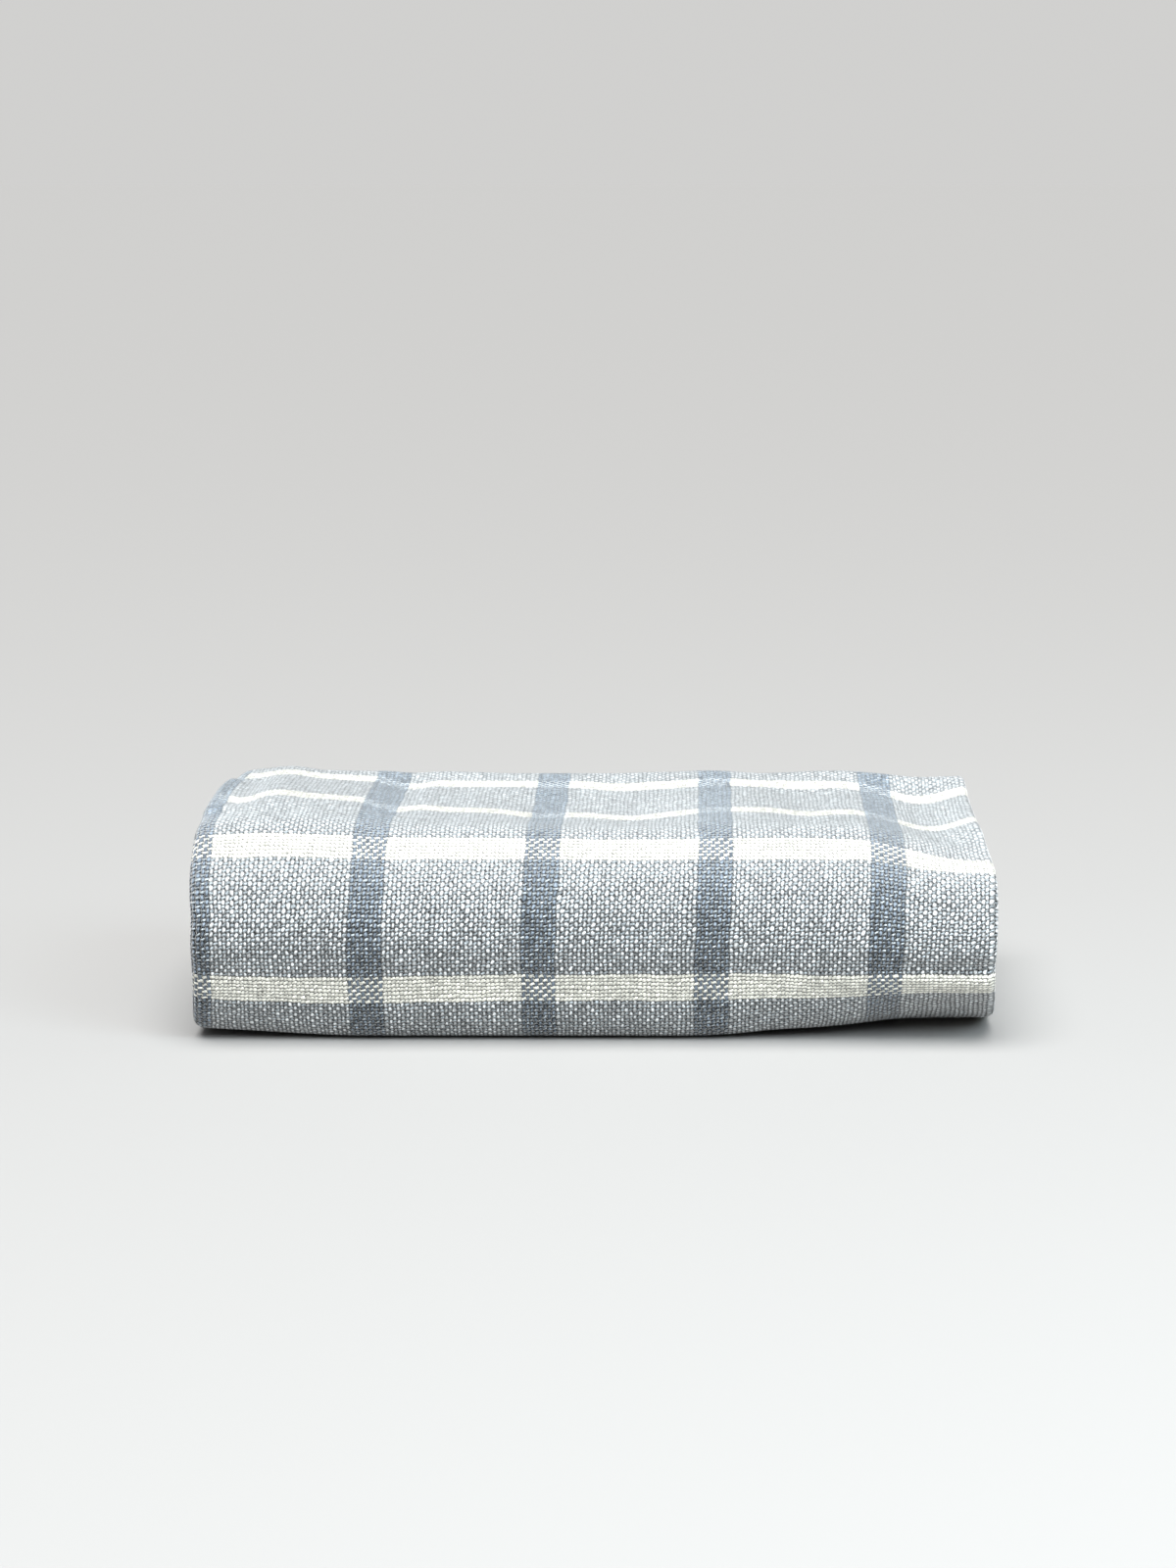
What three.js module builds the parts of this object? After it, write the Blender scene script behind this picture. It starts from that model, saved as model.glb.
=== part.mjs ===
// A folded tea towel: one hemmed, checked, plain-woven cloth, folded in thirds across its width
// and then in half three times along its length, lying on its back strip.
// Millimetres, +Z up. The rounded front fold faces -Y and runs along X.
// The origin is on the resting face, under the middle of the folded towel.

import * as THREE from "three";
import { mergeVertices } from "three/addons/utils/BufferGeometryUtils.js";

// The cloth
const CLOTH_THICKNESS = 1.3;
const CLOTH_COLOUR = 0xaab1b3;

// The pile of plies
const PLY_PITCH = 1.88;
const PLIES_ACROSS = 3;
const STRIP_PITCH = PLIES_ACROSS * PLY_PITCH;
const FOLDED_WIDTH = 166.6;
const HALF_PLY = CLOTH_THICKNESS / 2;
const LOWEST_STRIP = HALF_PLY + PLY_PITCH;

// Where the strips turn, measured back from the tip of the front fold
const FRONT_TURN_Y = 21.3;
const BACK_TURN_Y = 85;
const FIRST_HEM_Y = 95.5;
const LAST_HEM_Y = 93;

// How far the two side edges stop short of the fold that they lie in
const LEFT_EDGE_SHORT = 4;
const RIGHT_EDGE_SHORT = 3;

// The eight strips, in the order in which the cloth runs through them from hem to hem.
// A layer is counted up from the resting face.
const STRIPS = [
  { layer: 1, runs: "forward" },
  { layer: 8, runs: "back" },
  { layer: 5, runs: "forward" },
  { layer: 4, runs: "back" },
  { layer: 3, runs: "forward" },
  { layer: 6, runs: "back" },
  { layer: 7, runs: "forward" },
  { layer: 2, runs: "back" },
];

// Facets: places along a strip as shares of its straight run, places across a ply as shares
// of its flat width, and the number of steps round the folds
const RUN_SHARES = [0, 0.31, 0.65, 1];
const PLY_SHARES = [0, 0.07, 0.16, 0.26, 0.48, 0.68, 0.8, 0.91, 1];
const LEFT_FOLD_STEPS = 5;
const RIGHT_FOLD_STEPS = 4;
const TURN_STEPS = [
  { layersTurned: 1, steps: 4 },
  { layersTurned: 3, steps: 6 },
  { layersTurned: 5, steps: 9 },
  { layersTurned: 7, steps: 9 },
];

// The front fold, as a share of a true half round: by angle above level, in degrees,
// in the middle of the towel and at its right end
const TOP = CLOTH_THICKNESS + 2 * PLY_PITCH + 7 * STRIP_PITCH;
const FRONT_CENTRE_Z = TOP / 2;
const FRONT_ROUND = [
  { angle: -90, middle: 1.0, right: 1.0 },
  { angle: -78, middle: 1.015, right: 0.94 },
  { angle: -60, middle: 0.98, right: 0.88 },
  { angle: -25, middle: 0.845, right: 0.86 },
  { angle: 10, middle: 0.965, right: 0.985 },
  { angle: 45, middle: 1.0, right: 0.985 },
  { angle: 70, middle: 1.02, right: 1.0 },
  { angle: 90, middle: 1.0, right: 1.0 },
];
const RIGHT_SHAPE_FROM_X = 30;
const RIGHT_SHAPE_FULL_X = 84;

// Soft rises and hollows of the top: place, reach along X and along Y, and height
const TOP_SWELLS = [
  { x: 0, y: 92, alongX: 600, alongY: 20, rise: 1.3 },
  { x: -66, y: 54, alongX: 36, alongY: 65, rise: 3.2 },
  { x: 9, y: 44, alongX: 38, alongY: 44, rise: -1.3 },
  { x: 72, y: 48, alongX: 24, alongY: 70, rise: -3.4 },
  { x: 92, y: 6, alongX: 40, alongY: 32, rise: -2.6 },
];

// Where the underside of the front fold leaves the table
const UNDER_LIFTS = [
  { x: 76, y: 0, alongX: 50, alongY: 32, rise: 5.5 },
  { x: -92, y: 0, alongX: 30, alongY: 28, rise: 2.0 },
];

// The strips are laid a little askew: sideways shift for each millimetre towards the back
const LEAN = 0.034;

function smoothStep(from, to, value) {
  const share = Math.min(Math.max((value - from) / (to - from), 0), 1);
  return share * share * (3 - 2 * share);
}

// A value of a table at an angle, with an eased change from each row to the next
function tableValue(rows, column, angle) {
  const next = Math.max(rows.findIndex((row) => row.angle >= angle), 1);
  const below = rows[next - 1];
  const above = rows[next];
  const share = smoothStep(below.angle, above.angle, angle);
  return below[column] * (1 - share) + above[column] * share;
}

// The sum of the swells at one place. Each is a bell that has faded to nothing at its reach.
function swellHeight(swells, x, y) {
  const heights = swells.map((swell) => {
    const dx = (x - swell.x) / swell.alongX;
    const dy = (y - swell.y) / swell.alongY;
    const inside = Math.max(1 - dx * dx - dy * dy, 0);
    return swell.rise * inside * inside;
  });
  return heights.reduce((sum, height) => sum + height, 0);
}

// One ply's course across the width, seen from the front: x, the height t in its strip, and
// the direction of the cloth's outer face. The left third lies innermost, at -PLY_PITCH, goes
// round the left fold to the outer ply, at +PLY_PITCH, and round the right fold to the middle.
function acrossStations() {
  const left = -FOLDED_WIDTH / 2 + HALF_PLY + PLY_PITCH;
  const right = FOLDED_WIDTH / 2 - HALF_PLY - PLY_PITCH / 2;
  const flat = (share) => left + share * (right - left);
  const fromRight = [...PLY_SHARES].reverse();
  const stations = [];
  for (const share of fromRight) {
    const x = Math.min(flat(share), right - LEFT_EDGE_SHORT);
    stations.push({ x, t: -PLY_PITCH, outX: 0, outT: -1 });
  }
  for (let step = 1; step <= LEFT_FOLD_STEPS; step += 1) {
    const angle = -Math.PI / 2 - (Math.PI * step) / LEFT_FOLD_STEPS;
    const outX = Math.cos(angle);
    const outT = Math.sin(angle);
    stations.push({ x: left + PLY_PITCH * outX, t: PLY_PITCH * outT, outX, outT });
  }
  for (const share of PLY_SHARES.slice(1)) {
    stations.push({ x: flat(share), t: PLY_PITCH, outX: 0, outT: 1 });
  }
  for (let step = 1; step <= RIGHT_FOLD_STEPS; step += 1) {
    const angle = Math.PI / 2 - (Math.PI * step) / RIGHT_FOLD_STEPS;
    const outX = Math.cos(angle);
    const outT = Math.sin(angle);
    const radius = PLY_PITCH / 2;
    stations.push({ x: right + radius * outX, t: radius + radius * outT, outX, outT });
  }
  for (const share of fromRight.slice(1)) {
    const x = Math.max(flat(share), left + RIGHT_EDGE_SHORT);
    stations.push({ x, t: 0, outX: 0, outT: -1 });
  }
  return stations;
}

// The course of the strips' middle along the length, seen from the right: y, z and the direction
// of the cloth's outer face. A strip runs straight and level, and a half round as high as the
// step between two strips joins each to the next.
function alongStations() {
  const stations = [];
  const layerHeight = (layer) => LOWEST_STRIP + (layer - 1) * STRIP_PITCH;
  STRIPS.forEach((strip, index) => {
    const z = layerHeight(strip.layer);
    const forward = strip.runs === "forward";
    const outZ = forward ? -1 : 1;
    const shares = forward ? [...RUN_SHARES].reverse() : RUN_SHARES;
    const first = index === 0;
    const last = index === STRIPS.length - 1;
    if (first) {
      stations.push({ y: FIRST_HEM_Y, z, outY: 0, outZ });
    }
    for (const share of first ? shares : shares.slice(1)) {
      const y = FRONT_TURN_Y + share * (BACK_TURN_Y - FRONT_TURN_Y);
      stations.push({ y, z, outY: 0, outZ });
    }
    if (last) {
      stations.push({ y: LAST_HEM_Y, z, outY: 0, outZ });
      return;
    }
    const nextLayer = STRIPS[index + 1].layer;
    const layersTurned = Math.abs(nextLayer - strip.layer);
    const centreY = forward ? FRONT_TURN_Y : BACK_TURN_Y;
    const centreZ = (z + layerHeight(nextLayer)) / 2;
    const radius = (layersTurned * STRIP_PITCH) / 2;
    const { steps } = TURN_STEPS.find((row) => row.layersTurned === layersTurned);
    const side = forward ? -1 : 1;
    const start = Math.sign(z - centreZ);
    const facesOut = start === outZ ? 1 : -1;
    for (let step = 1; step <= steps; step += 1) {
      const angle = (Math.PI * step) / steps;
      const awayY = side * Math.sin(angle);
      const awayZ = start * Math.cos(angle);
      stations.push({
        y: centreY + radius * awayY,
        z: centreZ + radius * awayZ,
        outY: facesOut * awayY,
        outZ: facesOut * awayZ,
      });
    }
  });
  return stations;
}

// The way in which the neat pile settles: the front fold takes its softly pointed shape, the
// top rises and sinks, the underside lifts in places, and the whole pile leans. Heights fade
// evenly from the top to the table, so that no ply passes through its neighbour.
function settle(point) {
  const forwardOfTurn = FRONT_TURN_Y - point.y;
  if (forwardOfTurn > 0) {
    const aboveCentre = point.z - FRONT_CENTRE_Z;
    const angle = THREE.MathUtils.radToDeg(Math.atan2(aboveCentre, forwardOfTurn));
    const toRight = smoothStep(RIGHT_SHAPE_FROM_X, RIGHT_SHAPE_FULL_X, point.x);
    const middle = tableValue(FRONT_ROUND, "middle", angle);
    const right = tableValue(FRONT_ROUND, "right", angle);
    const share = middle * (1 - toRight) + right * toRight;
    point.y = FRONT_TURN_Y - forwardOfTurn * share;
    point.z = FRONT_CENTRE_Z + aboveCentre * share;
  }
  const upShare = point.z / TOP;
  point.z += swellHeight(TOP_SWELLS, point.x, point.y) * upShare;
  point.z += swellHeight(UNDER_LIFTS, point.x, point.y) * (1 - upShare);
  point.x += LEAN * point.y;
}

// Each four-cornered facet a, b, c, d comes as the triangles a-b-d and b-c-d. It is split along
// its shorter diagonal instead, so that plies lying on each other bend along the same lines.
function splitAlongShorterDiagonals(slab) {
  const corners = slab.attributes.position;
  const index = slab.index;
  const corner = (place) => new THREE.Vector3().fromBufferAttribute(corners, place);
  for (let start = 0; start < index.count; start += 6) {
    const a = index.getX(start);
    const b = index.getX(start + 1);
    const c = index.getX(start + 4);
    const d = index.getX(start + 2);
    if (corner(a).distanceTo(corner(c)) < corner(b).distanceTo(corner(d))) {
      [a, b, c, a, c, d].forEach((place, step) => index.setX(start + step, place));
    }
  }
}

// The cloth is a flat slab of one step through its thickness. Each of its corners moves to its
// place across the width, then along the strips' course, and then settles.
function foldedCloth() {
  const across = acrossStations();
  const along = alongStations();
  const slab = new THREE.BoxGeometry(1, 1, 1, across.length - 1, 1, along.length - 1);
  const corners = slab.attributes.position;
  const point = new THREE.Vector3();
  for (let index = 0; index < corners.count; index += 1) {
    point.fromBufferAttribute(corners, index);
    const ply = across[Math.round((point.x + 0.5) * (across.length - 1))];
    const strip = along[Math.round((0.5 - point.z) * (along.length - 1))];
    const fromMiddle = point.y * CLOTH_THICKNESS;
    const height = ply.t + ply.outT * fromMiddle;
    point.set(
      ply.x + ply.outX * fromMiddle,
      strip.y + strip.outY * height,
      strip.z + strip.outZ * height,
    );
    settle(point);
    corners.setXYZ(index, point.x, point.y, point.z);
  }
  splitAlongShorterDiagonals(slab);
  slab.deleteAttribute("normal");
  slab.deleteAttribute("uv");
  const cloth = mergeVertices(slab);
  cloth.computeBoundingBox();
  const middle = cloth.boundingBox.getCenter(new THREE.Vector3());
  cloth.translate(-middle.x, -middle.y, -cloth.boundingBox.min.z);
  cloth.computeVertexNormals();
  return cloth;
}

const clothFinish = new THREE.MeshStandardMaterial({
  color: CLOTH_COLOUR,
  roughness: 0.95,
  metalness: 0,
});

const towel = new THREE.Mesh(foldedCloth(), clothFinish);
towel.name = "towel";

const foldedTowel = new THREE.Group();
foldedTowel.add(towel);

export default foldedTowel;
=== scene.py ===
"""The looks of the folded tea towel: one checked, plain-woven cloth lying folded on a pale floor.

The cloth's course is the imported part's own: in thirds across its width, then in half three times
along its length. The cloth's sizes are in millimetres until its mesh is made. The floor, the
lights and the camera are in metres.
"""

import math
from types import SimpleNamespace

import bpy
import numpy as np
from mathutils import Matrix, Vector


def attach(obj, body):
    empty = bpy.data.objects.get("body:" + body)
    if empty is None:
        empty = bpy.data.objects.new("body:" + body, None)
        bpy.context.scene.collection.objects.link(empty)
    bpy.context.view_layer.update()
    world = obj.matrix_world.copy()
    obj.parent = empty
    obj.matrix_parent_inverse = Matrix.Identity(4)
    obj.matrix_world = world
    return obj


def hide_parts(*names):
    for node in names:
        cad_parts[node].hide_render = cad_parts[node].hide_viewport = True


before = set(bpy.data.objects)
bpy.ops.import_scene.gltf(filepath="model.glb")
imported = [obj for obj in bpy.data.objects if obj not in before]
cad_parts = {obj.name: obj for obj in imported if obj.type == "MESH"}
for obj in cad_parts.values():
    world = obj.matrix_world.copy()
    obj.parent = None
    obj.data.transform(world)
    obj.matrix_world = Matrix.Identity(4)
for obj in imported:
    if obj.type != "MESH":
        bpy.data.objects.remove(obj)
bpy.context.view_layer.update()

METRE = 0.001

# The cloth and its pile of plies, as in the part
CLOTH_THICKNESS = 1.3
PLY_PITCH = 1.88
STRIP_PITCH = 3 * PLY_PITCH
FOLDED_WIDTH = 166.6
HALF_PLY = CLOTH_THICKNESS / 2
LOWEST_STRIP = HALF_PLY + PLY_PITCH
TOP = CLOTH_THICKNESS + 2 * PLY_PITCH + 7 * STRIP_PITCH
FRONT_TURN_Y = 21.3
BACK_TURN_Y = 85.0
FIRST_HEM_Y = 95.5
LAST_HEM_Y = 93.0
LEFT_EDGE_SHORT = 4.0
RIGHT_EDGE_SHORT = 3.0
FRONT_CENTRE_Z = TOP / 2

# The fold's own frame has the front turn's tip near y = 0: the part's frame starts here in it
PART_ORIGIN_X = 1.70
PART_ORIGIN_Y = 47.36

# Hems: half the cloth's thickness there, and how far in from each end it starts and stops
# thinning to the plain cloth
HALF_HEM = 0.8
HEM_THINS_FROM = 8.0
HEM_THINS_TO = 9.6

# Strips in the cloth's own order: layer up from the floor, and whether it runs to the front
STRIPS = [(1, True), (8, False), (5, True), (4, False), (3, True), (6, False), (7, True), (2, False)]

# Grid steps: along each strip's straight run, by layer, round each turn, by layers turned and
# whether it is at the front, along the two hems, and across the plies
RUN_STEPS = {8: 36, 1: 16, 2: 16, 3: 14, 4: 14, 5: 14, 6: 14, 7: 14}
TURN_STEPS = {(7, True): 46, (5, True): 18, (3, True): 12, (3, False): 18, (1, False): 9, (1, True): 8}
FIRST_HEM_STEPS = 5
LAST_HEM_STEPS = 4
OUTER_PLY_STEPS = 84
HIDDEN_PLY_STEPS = 34
LEFT_FOLD_STEPS = 9
RIGHT_FOLD_STEPS = 7

# Rounding of the cloth's edges, in degrees: of the selvedges, round the edge from the upper face
# to the lower one, and of the cut ends, from the end inwards
SELVEDGE_ROUND = (45, 0, -45)
END_ROUND = (8, 35, 62)

# The front turn as a share of a true half round, by angle above level: middle, right end
FRONT_ROUND = np.array([
    (-90, 1.000, 1.000),
    (-79, 1.018, 0.975),
    (-68, 1.035, 0.950),
    (-50, 0.955, 0.930),
    (-34, 0.890, 0.960),
    (-20, 0.872, 0.970),
    (0, 0.945, 0.965),
    (20, 1.000, 0.995),
    (38, 1.015, 1.035),
    (54, 1.010, 1.005),
    (72, 1.015, 0.985),
    (90, 1.000, 1.000),
])
RIGHT_SHAPE_FROM_X = 30
RIGHT_SHAPE_FULL_X = 84

# Shallow dents of the front turn: place x and angle, reach in x and angle, change of share
FRONT_DENTS = [
    (92, -17, 44, 10, -0.11),
    (92, 4, 42, 16, 0.018),
    (-30, -30, 46, 14, -0.010),
    (20, 6, 50, 18, -0.008),
]

# Bells of the pile's top, and of its underside at the front: place x and y, reach along x and
# along y, rise
TOP_SWELLS = [
    (0, 92, 600, 20, 1.3),
    (-66, 54, 36, 62, 3.2),
    (9, 44, 38, 44, -1.3),
    (72, 48, 24, 70, -3.4),
    (92, 6, 40, 32, -2.6),
]
UNDER_LIFTS = [
    (78, 2, 62, 36, 6.5),
    (53, 2, 19, 36, -1.3),
    (-95, 4, 50, 32, 2.6),
]

# Smaller bells of the upper plies, with the same columns
UPPER_SWELLS = [
    (-12, 43, 46, 30, -0.6),
    (-58, 66, 20, 34, -0.8),
    (86, 18, 26, 15, -2.0),
    (66, 93, 28, 13, 1.3),
    (-60, 95, 20, 14, -1.0),
    (-88, 95, 11, 26, -2.2),
    (-67, 94, 16, 18, -0.5),
    (-36, 92, 18, 12, 0.6),
    (14, 92, 18, 12, 0.4),
    (46, 92, 14, 12, 0.5),
]

# Creases of the upper plies: from x, y to x, y, half width, rise
CREASES = [
    (-84, 32, -83, 66, 7, 1.3),
    (-76.5, 38, -77, 68, 6, -0.8),
    (-69, 32, -70, 84, 7, 0.6),
    (-45, 34, -43, 84, 7, -1.2),
    (-14, 34, -15, 60, 9, -0.5),
    (7, 34, 3, 80, 9, -0.5),
    (24, 26, 25, 84, 12, 0.6),
    (46, 30, 45, 66, 11, -1.2),
    (73, 30, 71, 80, 11, -1.2),
]

# Sideways: the right end is a little fuller and its upper plies are drawn in towards the back,
# the left end's hardly are, the left end bulges at the top of the front, both lowest corners are
# drawn out, and the front turn and the whole pile are a little skewed
RIGHT_FULLER = 0.4
RIGHT_DRAWN_IN = 1.7
LEFT_DRAWN_IN = 0.1
LEFT_BULGE = 1.2
LEFT_CORNER_OUT = 1.2
RIGHT_CORNER_OUT = 1.3
FRONT_SKEW = 0.8
LEAN = 0.025

# Where those shifts lie. An end starts and is full at an x either side of the middle
END_FROM_X = 62
END_FULL_X = 84
UPPER_FROM_Z = 26
UPPER_FULL_Z = 42
RIGHT_DRAWN_FULL_Y = 40
LEFT_DRAWN_FROM_Y = 60
LEFT_DRAWN_FULL_Y = 90
BULGE_FULL_Y = 50
BULGE_END_Y = 90
BULGE_Z = 42
BULGE_REACH_Z = 14
CORNER_TOP_Z = 18
SKEW_FROM_ANGLE = -20
SKEW_FULL_ANGLE = 60
SKEW_REACH_Z = 20

# The weave: yarn pitches, the check's repeats, where one band and one stripe lie, and which ones
# in their count these are
WARP_PITCH = 0.9
WEFT_PITCH = 0.957
CHECK_WARPS = 40
BAND_WARPS = 8
CHECK_WEFTS = 35
STRIPE_WEFTS = 7
BAND_X = -47.2
LOW_STRIPE_ARC = 23.0
BAND_COUNT_THERE = 6
STRIPE_COUNT_THERE = 6

# Where yarns stray from their straight lines: place and reach in x and along the cloth from the
# front turn's start, and the change of count
WARP_DRIFT = [
    (-88, 60, 22, 110, -0.9),
]
WEFT_DRIFT = [
    (-72, 23, 46, 24, 0.75),
    (6, 23, 62, 22, -0.6),
    (50, 23, 22, 20, 0.45),
    (10, 56, 120, 14, 0.2),
    (-20, 123, 130, 16, 0.2),
    (-58, 90, 30, 14, 0.2),
]

# Room in the bake map: of the outer ply, of the lower face, and of the stretch along the cloth
# that shows, from before to after the front turn's start
OUTER_PLY_ROOM = 6
LOWER_FACE_ROOM = 0.35
SEEN_ROOM = 4.0
SEEN_BEFORE = 15
SEEN_AFTER = 190
BAKE_MARGIN = 0.004


def ease(start, end, value):
    """0 before start, 1 after end, and 3s^2 - 2s^3 of the share s between them."""
    share = np.clip((value - start) / (end - start), 0, 1)
    return share * share * (3 - 2 * share)


def table_value(column, angle):
    """The FRONT_ROUND column at each angle: a cubic between rows, whose slope at a row is that of
    the parabola through it and its two neighbours."""
    angles, values = FRONT_ROUND[:, 0], FRONT_ROUND[:, column]
    slopes = np.gradient(values, angles)
    below = np.clip(np.searchsorted(angles, angle) - 1, 0, len(angles) - 2)
    step = angles[below + 1] - angles[below]
    s = np.clip((angle - angles[below]) / step, 0, 1)
    return (
        values[below] * (1 + 2 * s) * (1 - s) ** 2
        + values[below + 1] * s ** 2 * (3 - 2 * s)
        + step * (slopes[below] * s * (1 - s) ** 2 - slopes[below + 1] * s ** 2 * (1 - s))
    )


def bells(rows, x, y):
    """Sum of rise * (1 - dx^2 - dy^2)^2, with dx and dy in shares of the reach, 0 outside it."""
    height = np.zeros_like(x)
    for place_x, place_y, reach_x, reach_y, rise in rows:
        inside = 1 - ((x - place_x) / reach_x) ** 2 - ((y - place_y) / reach_y) ** 2
        height += rise * np.maximum(inside, 0) ** 2
    return height


def creases(rows, x, y):
    """Sum of rise * (1 - (d / half width)^2)^2, with d the distance to each row's line."""
    height = np.zeros_like(x)
    for x0, y0, x1, y1, half_width, rise in rows:
        along_x = x1 - x0
        along_y = y1 - y0
        share = ((x - x0) * along_x + (y - y0) * along_y) / (along_x ** 2 + along_y ** 2)
        share = np.clip(share, 0, 1)
        distance = np.hypot(x - x0 - share * along_x, y - y0 - share * along_y)
        height += rise * np.maximum(1 - (distance / half_width) ** 2, 0) ** 2
    return height


def shifted_sideways(x, y, z, skew):
    """x after the sideways shifts: each is its size times how far the point is in that end, in the
    upper plies, in the lowest corner or in the bulge, and the lean grows with y."""
    right_end = ease(END_FROM_X, END_FULL_X, x)
    left_end = ease(-END_FROM_X, -END_FULL_X, x)
    upper = ease(UPPER_FROM_Z, UPPER_FULL_Z, z)
    corner = np.maximum(1 - z / CORNER_TOP_Z, 0) ** 2
    bulge = ease(BULGE_END_Y, BULGE_FULL_Y, y) * np.maximum(1 - ((z - BULGE_Z) / BULGE_REACH_Z) ** 2, 0)
    right_drawn = RIGHT_DRAWN_IN * upper * ease(0, RIGHT_DRAWN_FULL_Y, y)
    left_drawn = LEFT_DRAWN_IN * upper * ease(LEFT_DRAWN_FROM_Y, LEFT_DRAWN_FULL_Y, y)
    x = x + LEAN * y + FRONT_SKEW * skew
    x = x + right_end * (RIGHT_FULLER * (1 - upper) - right_drawn)
    x = x + left_end * (left_drawn - LEFT_BULGE * bulge)
    return x + corner * (RIGHT_CORNER_OUT * right_end - LEFT_CORNER_OUT * left_end)


def settle(x, y, z):
    """The neat pile's points after settling: the front turn is scaled about its centre line by
    its table, heights take the swells in proportion to z and the lifts in proportion to what is
    left, and x takes the sideways shifts."""
    forward = FRONT_TURN_Y - y
    above = z - FRONT_CENTRE_Z
    angle = np.degrees(np.arctan2(above, forward))
    right = ease(RIGHT_SHAPE_FROM_X, RIGHT_SHAPE_FULL_X, x)
    share = table_value(1, angle) * (1 - right) + table_value(2, angle) * right
    share += bells(FRONT_DENTS, x, angle)
    share = np.where(forward > 0, share, 1)
    skew = np.where(
        forward > 0,
        ease(SKEW_FROM_ANGLE, SKEW_FULL_ANGLE, angle),
        ease(-SKEW_REACH_Z, SKEW_REACH_Z, above),
    )
    y = FRONT_TURN_Y - forward * share
    z = FRONT_CENTRE_Z + above * share
    up = z / TOP
    rise = bells(TOP_SWELLS, x, y) * up
    rise += (bells(UPPER_SWELLS, x, y) + creases(CREASES, x, y)) * up ** 3
    lift = bells(UNDER_LIFTS, x, y) * (1 - up) ** 3
    return shifted_sideways(x, y, z, skew), y, np.maximum(z + rise + lift, 0)


def across_course():
    """One ply's course across the width: columns x, t, out_x, out_t. The left third lies at
    t = -pitch, a half round joins it to the outer ply at +pitch, and a smaller half round joins
    that to the right third at t = 0."""
    left = -FOLDED_WIDTH / 2 + HALF_PLY + PLY_PITCH
    right = FOLDED_WIDTH / 2 - HALF_PLY - PLY_PITCH / 2

    def flat(start, end, steps, t, out_t):
        """A level stretch at height t, from x = start to x = end."""
        x = np.linspace(start, end, steps + 1)
        return np.column_stack([x, x * 0 + t, x * 0, x * 0 + out_t])

    def fold(centre_x, centre_t, radius, start, steps):
        """A half round: the centre plus the radius times the cosine and sine of an angle that
        falls by half a turn from its start."""
        angle = start - np.linspace(0, math.pi, steps + 1)[1:-1]
        out_x, out_t = np.cos(angle), np.sin(angle)
        return np.column_stack([centre_x + radius * out_x, centre_t + radius * out_t, out_x, out_t])

    return np.vstack([
        flat(right - LEFT_EDGE_SHORT, left, HIDDEN_PLY_STEPS, -PLY_PITCH, -1),
        fold(left, 0, PLY_PITCH, -math.pi / 2, LEFT_FOLD_STEPS),
        flat(left, right, OUTER_PLY_STEPS, PLY_PITCH, 1),
        fold(right, PLY_PITCH / 2, PLY_PITCH / 2, math.pi / 2, RIGHT_FOLD_STEPS),
        flat(right, left + RIGHT_EDGE_SHORT, HIDDEN_PLY_STEPS, 0, -1),
    ])


def strip_height(layer):
    """The height of a strip's middle line: the lowest one's plus a pitch for each layer above it."""
    return LOWEST_STRIP + (layer - 1) * STRIP_PITCH


def along_course():
    """The strips' middle line along the length: columns y, z, out_y, out_z, and whether the outer
    ply is on the outside there. Level runs are joined by half rounds as high as their step."""
    rows = []

    def level(y, z, out_z):
        """A level stretch at height z, its outer side up or down."""
        rows.append(np.column_stack([y, y * 0 + z, y * 0, y * 0 + out_z, y * 0 + 1]))

    def half_round(y, z, next_z, out_z, layers, forward):
        """A half round from height z to the next: the middle height plus the radius times the
        cosine of the angle turned, and y plus or minus the radius times its sine."""
        centre_z = (z + next_z) / 2
        radius = layers * STRIP_PITCH / 2
        side = -1 if forward else 1
        first = np.sign(z - centre_z)
        faces_out = 1 if first == out_z else -1
        angle = np.linspace(0, math.pi, TURN_STEPS[(layers, forward)] + 1)[1:-1]
        away_y, away_z = side * np.sin(angle), first * np.cos(angle)
        rows.append(np.column_stack([
            y + radius * away_y, centre_z + radius * away_z,
            faces_out * away_y, faces_out * away_z, away_y * 0 + max(faces_out, 0),
        ]))

    level(np.linspace(FIRST_HEM_Y, BACK_TURN_Y, FIRST_HEM_STEPS + 1)[:-1], strip_height(STRIPS[0][0]), -1)
    for index, (layer, forward) in enumerate(STRIPS):
        z = strip_height(layer)
        out_z = -1 if forward else 1
        start, end = (BACK_TURN_Y, FRONT_TURN_Y) if forward else (FRONT_TURN_Y, BACK_TURN_Y)
        level(np.linspace(start, end, RUN_STEPS[layer] + 1), z, out_z)
        if index < len(STRIPS) - 1:
            next_layer = STRIPS[index + 1][0]
            half_round(end, z, strip_height(next_layer), out_z, abs(next_layer - layer), forward)
    level(np.linspace(BACK_TURN_Y, LAST_HEM_Y, LAST_HEM_STEPS + 1)[1:], strip_height(STRIPS[-1][0]), 1)
    return np.vstack(rows)


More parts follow.
